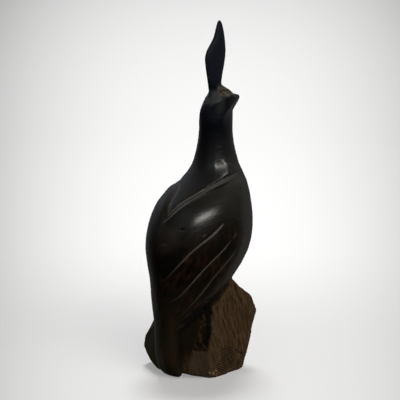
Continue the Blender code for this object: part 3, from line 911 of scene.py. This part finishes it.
def raspTeeth(tree):
    # Rows of rasp scratches.
    rows = node(tree, "ShaderNodeTexWave", wave_type="BANDS", bands_direction="Z", Scale=1.0,
                Distortion=wood["raspWander"])
    place = tiltedPlace(tree, grey(wood["raspPitch"] / waveSpacing), wood["raspTilt"])
    tree.links.new(place, rows.inputs["Vector"])
    return rows.outputs["Fac"]


def ramp(tree, source, stops):
    made = node(tree, "ShaderNodeValToRGB")
    made.color_ramp.elements[0].position = stops[0][0]
    made.color_ramp.elements[0].color = (*stops[0][1], 1.0)
    made.color_ramp.elements[1].position = stops[-1][0]
    made.color_ramp.elements[1].color = (*stops[-1][1], 1.0)
    for place, color in stops[1:-1]:
        made.color_ramp.elements.new(place).color = (*color, 1.0)
    tree.links.new(source, made.inputs["Fac"])
    return made.outputs["Color"]


def between(tree, height, limits):
    # 0 at the first height, 1 at the second.
    made = node(tree, "ShaderNodeMapRange")
    tree.links.new(height, made.inputs["Value"])
    made.inputs["From Min"].default_value, made.inputs["From Max"].default_value = limits
    return made.outputs["Result"]


def mixColors(tree, factor, first, second):
    made = node(tree, "ShaderNodeMix", data_type="RGBA")
    for source, socket in ((factor, made.inputs[0]), (first, made.inputs[6]),
                           (second, made.inputs[7])):
        if hasattr(source, "links"):
            tree.links.new(source, socket)
        elif isinstance(source, tuple):
            socket.default_value = (*source, 1.0)
        else:
            socket.default_value = source
    return made.outputs[2]


def mathNode(tree, operation, first, second=0.0):
    made = node(tree, "ShaderNodeMath", operation=operation)
    for source, socket in ((first, made.inputs[0]), (second, made.inputs[1])):
        if hasattr(source, "links"):
            tree.links.new(source, socket)
        else:
            socket.default_value = source
    return made.outputs[0]


def attribute(tree, name):
    return node(tree, "ShaderNodeAttribute", attribute_name=name).outputs["Fac"]


def polishedColor(tree, height, waxAndSheen, wear, dry):
    # Nearly black wood with reddish figure low on the wings, painted bluer towards the head and paler
    # on its dry polish there, as cool light. Pale marks are wax and painted sheen; dark marks are
    # stain and painted shade.
    high = between(tree, height, wood["highFrom"])
    low = between(tree, height, wood["figureFrom"])
    foot = between(tree, height, wood["lowFrom"])
    figure = stretchedNoise(tree, *wood["figureGrain"], Detail=6.0, Roughness=0.65)
    streak = ramp(tree, figure, ((0.44, grey(0)), (0.66, grey(1))))
    clouds = stretchedNoise(tree, *wood["figureClouds"], Detail=2.0)
    inside = ramp(tree, clouds, ((0.38, grey(0)), (0.56, grey(1))))
    amount = mathNode(tree, "MULTIPLY", mathNode(tree, "MULTIPLY", streak, inside), low)
    deep = mathNode(tree, "MULTIPLY", inside, low)
    deep = mathNode(tree, "MULTIPLY", deep, wood["figureDepth"])
    # Painted cool light: bluer towards the head.
    color = mixColors(tree, high, wood["polish"], wood["polishHighPaintedCool"])
    color = mixColors(tree, deep, color, wood["figureDark"])
    color = mixColors(tree, foot, color, wood["polishLow"])
    color = mixColors(tree, amount, color, wood["figure"])
    # Painted cool light: paler and bluer on dry polish up high.
    color = mixColors(tree, mathNode(tree, "MULTIPLY", dry, high), color, wood["polishDryPaintedCool"])
    color = mixColors(tree, waxAndSheen, color, mixColors(tree, high, wood["waxAndSheen"], wood["sheenAndWaxHigh"]))
    color = mixColors(tree, wear, color, wood["worn"])
    # Dark stain, and painted shade on the cheek, the body's foot and the band's grooves, browner near
    # the foot.
    stainAndShade = mixColors(tree, foot, wood["stainAndShade"], wood["hewnStainAndShade"])
    return mixColors(tree, attribute(tree, "stainAndShade"), color, stainAndShade)


def hewnColor(tree, fibres, teeth, rasped, waxAndSheen, wear):
    # Open brown grain, with the rasp's rows, dark stain in the cracks, painted shade in the hollows
    # and under the body, pale wax and painted sheen, and pale chips.
    color = ramp(tree, fibres, ((0.36, wood["hewnDark"]), (0.56, wood["hewn"]),
                                (0.75, wood["hewnLight"])))
    lines = ramp(tree, teeth, ((0.25, grey(1)), (0.55, grey(0))))
    color = mixColors(tree, mathNode(tree, "MULTIPLY", lines, rasped), color, wood["raspDark"])
    # Dark stain in cracks, and painted shade in the hollows beside the tail.
    color = mixColors(tree, attribute(tree, "stainAndShade"), color, wood["hewnStainAndShade"])
    # Painted shade under the body and in the recess.
    color = mixColors(tree, attribute(tree, "shade"), color, wood["stainAndShade"])
    color = mixColors(tree, waxAndSheen, color, wood["waxAndSheen"])
    return mixColors(tree, wear, color, wood["chip"])


def makeWood(name, specular):
    made = bpy.data.materials.new(name)
    made.use_nodes = True
    tree = made.node_tree
    shader = tree.nodes["Principled BSDF"]
    shader.inputs["Specular IOR Level"].default_value = specular
    where = node(tree, "ShaderNodeTexCoord")
    axes = node(tree, "ShaderNodeSeparateXYZ")
    tree.links.new(where.outputs["Object"], axes.inputs["Vector"])

    rough = attribute(tree, "rough")
    waxAndSheen = attribute(tree, "waxAndSheen")
    dry = attribute(tree, "dry")
    wearGrain = stretchedNoise(tree, *wood["wearGrain"], Detail=3.0)
    wearGrain = ramp(tree, wearGrain, ((0.36, grey(0.25)), (0.60, grey(1))))
    wear = mathNode(tree, "MULTIPLY", attribute(tree, "wear"), wearGrain)
    fibres = stretchedNoise(tree, *wood["fibres"], Detail=5.0, Roughness=0.75)
    teeth = raspTeeth(tree)
    rasped = stretchedNoise(tree, *wood["raspClouds"])
    rasped = ramp(tree, rasped, ((0.50, grey(0.08)), (0.64, grey(0.4))))
    rasped = mathNode(tree, "MAXIMUM", attribute(tree, "rasp"), rasped)
    polished = polishedColor(tree, axes.outputs["Z"], waxAndSheen, wear, dry)
    hewn = hewnColor(tree, fibres, teeth, rasped, waxAndSheen, wear)
    tree.links.new(mixColors(tree, rough, polished, hewn), shader.inputs["Base Color"])

    brushed = stretchedNoise(tree, *wood["brushing"], Detail=3.0, Roughness=0.6)
    finest, coarsest = wood["gloss"]
    gloss = ramp(tree, brushed, ((0.3, grey(finest)), (0.7, grey(coarsest))))
    gloss = mixColors(tree, waxAndSheen, gloss, grey(wood["waxAndSheenGloss"]))
    gloss = mixColors(tree, dry, gloss, grey(wood["dryGloss"]))
    dull = mathNode(tree, "MAXIMUM", rough, attribute(tree, "wear"))
    gloss = mixColors(tree, dull, gloss, grey(wood["dullGloss"]))
    tree.links.new(gloss, shader.inputs["Roughness"])

    pores = stretchedNoise(tree, *wood["pores"], Detail=2.0)
    grain = mathNode(tree, "MULTIPLY", mathNode(tree, "ADD", fibres, pores), wood["fibreHeight"])
    cuts = mathNode(tree, "MULTIPLY", mathNode(tree, "MULTIPLY", teeth, rasped),
                    wood["raspHeight"])
    grain = mathNode(tree, "MULTIPLY", mathNode(tree, "ADD", grain, cuts), rough)
    height = mathNode(tree, "MULTIPLY", brushed, wood["brushHeight"])
    height = mathNode(tree, "ADD", height, grain)
    bump = node(tree, "ShaderNodeBump", Strength=1.0, Distance=1.0)
    tree.links.new(height, bump.inputs["Height"])
    tree.links.new(bump.outputs["Normal"], shader.inputs["Normal"])
    return made


quail = makeCarving()
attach(quail, "root")
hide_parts("quail_carving")

# Studio: a pale floor that curves up to a pale wall all round, a long key and a broad fill from
# the camera's right, and a soft light from behind that only lays a shadow. The sky lights the paper
# and the wood's own colour evenly; the paper also glows, in a painted pool of light that dims to its
# sides and top and paints shade on the floor in front of the carving. The polish mirrors a darker sky
# with a few broad glows.

studio = {
    "floorRadius": 1.5,
    "bendRadius": 1.4,
    "bendSteps": 12,
    "paper": 0.70,
    "paperRoughness": 0.9,
    # The paper's glow and colour follow a painted pool of light; its dimming in front is painted
    # shade.
    "glow": 0.36,                    # brightness of the paper that no shadow dims
    "dimSide": 0.31,                 # how far the paper dims at the photo's sides,
    "sideCurve": 2.3,
    "dimTop": 0.16,                  # at its top,
    "topCurve": 3.0,
    "dimNear": 0.26,                 # and on the floor in front
    "nearFrom": (-0.2, -0.7),
    "nearSides": 0.85,               # share of that which is lost towards the sides
    "middle": 0.05,                  # where it is palest, in half widths right of the centre
    "farthest": 1.2,                 # half widths beyond which it dims no more
    "daylight": 0.12,
    # brightness of the mirrored sky from straight below (0) to overhead (1)
    "sky": ((0.48, 0.0), (0.54, 0.012), (0.62, 0.045), (1.0, 0.075)),
    # broad soft lights that only the polish mirrors
    "mirroredGlows": (
        {"azimuth": 75, "elevation": 45, "focus": 4.0, "color": (0.22, 0.24, 0.28)},
        {"azimuth": 325, "elevation": 45, "focus": 4.0, "color": (0.37, 0.36, 0.33)},
        {"azimuth": 203, "elevation": 38, "focus": 16.0, "color": (0.23, 0.27, 0.26)},
        {"azimuth": 5, "elevation": -10, "focus": 6.0, "color": (0.10, 0.10, 0.092)},
        {"azimuth": 340, "elevation": -38, "focus": 6.0, "color": (0.060, 0.058, 0.052)},
        {"azimuth": 80, "elevation": -20, "focus": 8.0, "color": (0.085, 0.095, 0.085)},
    ),
}

lamps = {
    "key": {"azimuth": 250, "elevation": 33.6, "distance": 3.2, "size": (1.45, 0.15),
            "power": 15.5, "color": (1.0, 0.97, 0.92), "mirrored": True},
    "keyWide": {"azimuth": 252, "elevation": 32, "distance": 3.2, "size": (2.3, 0.22),
                "power": 13.0, "color": (1.0, 0.97, 0.92), "mirrored": True},
    "fill": {"azimuth": 262, "elevation": 36, "distance": 3.2, "size": (2.8, 2.8),
             "power": 29.0, "color": (1.0, 0.97, 0.92), "mirrored": False},
    "shade": {"azimuth": 45, "elevation": 70, "distance": 4.0, "size": (1.2, 1.2),
              "power": 105.0, "color": (1.0, 1.0, 1.0), "mirrored": False},
}


def makeStage():
    bpy.ops.mesh.primitive_circle_add(vertices=128, radius=studio["floorRadius"], fill_type="NGON")
    stage = bpy.context.object
    stage.name = "studioFloor"
    bpy.ops.object.mode_set(mode="EDIT")
    bpy.ops.mesh.select_all(action="SELECT")
    radius = studio["floorRadius"]
    height = 0.0
    for i in range(1, studio["bendSteps"] + 1):
        turn = math.radians(90) * i / studio["bendSteps"]
        newRadius = studio["floorRadius"] + studio["bendRadius"] * math.sin(turn)
        newHeight = studio["bendRadius"] * (1.0 - math.cos(turn))
        bpy.ops.mesh.extrude_region_move(TRANSFORM_OT_translate={"value": (0, 0, newHeight - height)})
        grow = newRadius / radius
        bpy.ops.transform.resize(value=(grow, grow, 1.0), center_override=(0, 0, newHeight))
        radius = newRadius
        height = newHeight
    bpy.ops.mesh.delete(type="ONLY_FACE")
    bpy.ops.object.mode_set(mode="OBJECT")
    bpy.ops.object.shade_smooth()
    return stage


def paintStage(stage):
    # Pale, glowing paper in a painted pool of light that dims away from the middle of the camera's
    # view, with painted shade on the floor in front of the carving.
    made = bpy.data.materials.new("studioPaper")
    made.use_nodes = True
    tree = made.node_tree
    shader = tree.nodes["Principled BSDF"]
    shader.inputs["Roughness"].default_value = studio["paperRoughness"]
    shader.inputs["Specular IOR Level"].default_value = 0.0
    back = viewAxes()[0]
    where = node(tree, "ShaderNodeTexCoord")
    placed = node(tree, "ShaderNodeMapping", vector_type="TEXTURE")
    placed.inputs["Location"].default_value = Vector(shot["aim"]) + back * shot["distance"]
    placed.inputs["Rotation"].default_value = back.to_track_quat("Z", "Y").to_euler()
    tree.links.new(where.outputs["Object"], placed.inputs["Vector"])
    axes = node(tree, "ShaderNodeSeparateXYZ")
    tree.links.new(placed.outputs["Vector"], axes.inputs["Vector"])

    half = shot["imageWidth"] * shot["pixel"] / 2 / shot["distance"]
    ahead = mathNode(tree, "MULTIPLY", mathNode(tree, "ABSOLUTE", axes.outputs["Z"]), half)
    across = mathNode(tree, "DIVIDE", axes.outputs["X"], ahead)
    across = mathNode(tree, "ABSOLUTE", mathNode(tree, "SUBTRACT", across, studio["middle"]))
    across = mathNode(tree, "MINIMUM", across, studio["farthest"])
    rise = mathNode(tree, "DIVIDE", axes.outputs["Y"], ahead)
    upper = mathNode(tree, "MINIMUM", mathNode(tree, "MAXIMUM", rise, 0.0), studio["farthest"])
    near = node(tree, "ShaderNodeMapRange", interpolation_type="SMOOTHSTEP")
    near.inputs["From Min"].default_value, near.inputs["From Max"].default_value = studio["nearFrom"]
    tree.links.new(rise, near.inputs["Value"])
    sides = mathNode(tree, "POWER", across, studio["sideCurve"])
    sides = mathNode(tree, "MULTIPLY", sides, studio["dimSide"])
    top = mathNode(tree, "POWER", upper, studio["topCurve"])
    top = mathNode(tree, "MULTIPLY", top, studio["dimTop"])
    less = mathNode(tree, "MULTIPLY", across, studio["nearSides"])
    less = mathNode(tree, "SUBTRACT", 1.0, less)
    front = mathNode(tree, "MULTIPLY", near.outputs["Result"], less)
    front = mathNode(tree, "MULTIPLY", front, studio["dimNear"])
    # tone is the painted pool of light, with the painted shade in front taken off.
    tone = mathNode(tree, "SUBTRACT", 1.0, sides)
    tone = mathNode(tree, "SUBTRACT", tone, top)
    tone = mathNode(tree, "SUBTRACT", tone, front)

    paper = node(tree, "ShaderNodeVectorMath", operation="SCALE")
    paper.inputs[0].default_value = grey(studio["paper"])
    tree.links.new(tone, paper.inputs["Scale"])
    tree.links.new(paper.outputs["Vector"], shader.inputs["Base Color"])
    shader.inputs["Emission Color"].default_value = (1.0, 1.0, 1.0, 1.0)
    glow = mathNode(tree, "MULTIPLY", tone, studio["glow"])
    tree.links.new(glow, shader.inputs["Emission Strength"])
    stage.data.materials.append(made)


def makeWorld():
    # Even light for the paper and the wood's own colour, and for the polish the darker sky.
    world = bpy.data.worlds.new("studioLight")
    bpy.context.scene.world = world
    world.use_nodes = True
    tree = world.node_tree
    path = node(tree, "ShaderNodeLightPath")
    where = node(tree, "ShaderNodeTexCoord")
    axes = node(tree, "ShaderNodeSeparateXYZ")
    tree.links.new(where.outputs["Generated"], axes.inputs["Vector"])
    rise = mathNode(tree, "ADD", mathNode(tree, "MULTIPLY", axes.outputs["Z"], 0.5), 0.5)
    mirroredSky = ramp(tree, rise, tuple((place, grey(value)) for place, value in studio["sky"]))
    for glow in studio["mirroredGlows"]:
        toward = node(tree, "ShaderNodeVectorMath", operation="DOT_PRODUCT")
        toward.inputs[1].default_value = wayTo(glow["azimuth"], glow["elevation"])
        tree.links.new(where.outputs["Generated"], toward.inputs[0])
        lobe = mathNode(tree, "MAXIMUM", toward.outputs["Value"], 0.0)
        lobe = mathNode(tree, "POWER", lobe, glow["focus"])
        tinted = node(tree, "ShaderNodeVectorMath", operation="SCALE")
        tinted.inputs[0].default_value = glow["color"]
        tree.links.new(lobe, tinted.inputs["Scale"])
        total = node(tree, "ShaderNodeVectorMath", operation="ADD")
        tree.links.new(mirroredSky, total.inputs[0])
        tree.links.new(tinted.outputs["Vector"], total.inputs[1])
        mirroredSky = total.outputs["Vector"]
    color = mixColors(tree, path.outputs["Is Glossy Ray"], grey(studio["daylight"]), mirroredSky)
    tree.links.new(color, tree.nodes["Background"].inputs["Color"])


def makeLamps():
    for name, lamp in lamps.items():
        way = wayTo(lamp["azimuth"], lamp["elevation"])
        place = Vector(shot["aim"]) + way * lamp["distance"]
        bpy.ops.object.light_add(type="AREA", location=place)
        made = bpy.context.object
        made.name = name
        made.rotation_euler = way.to_track_quat("Z", "Y").to_euler()
        made.data.shape = "RECTANGLE"
        made.data.size, made.data.size_y = lamp["size"]
        made.data.energy = lamp["power"]
        made.data.color = lamp["color"]
        made.visible_camera = False
        made.visible_glossy = lamp["mirrored"]


stage = makeStage()
paintStage(stage)
stage.visible_glossy = False
stage.visible_diffuse = False
stage.visible_shadow = False
makeWorld()
makeLamps()
print("studio ready")
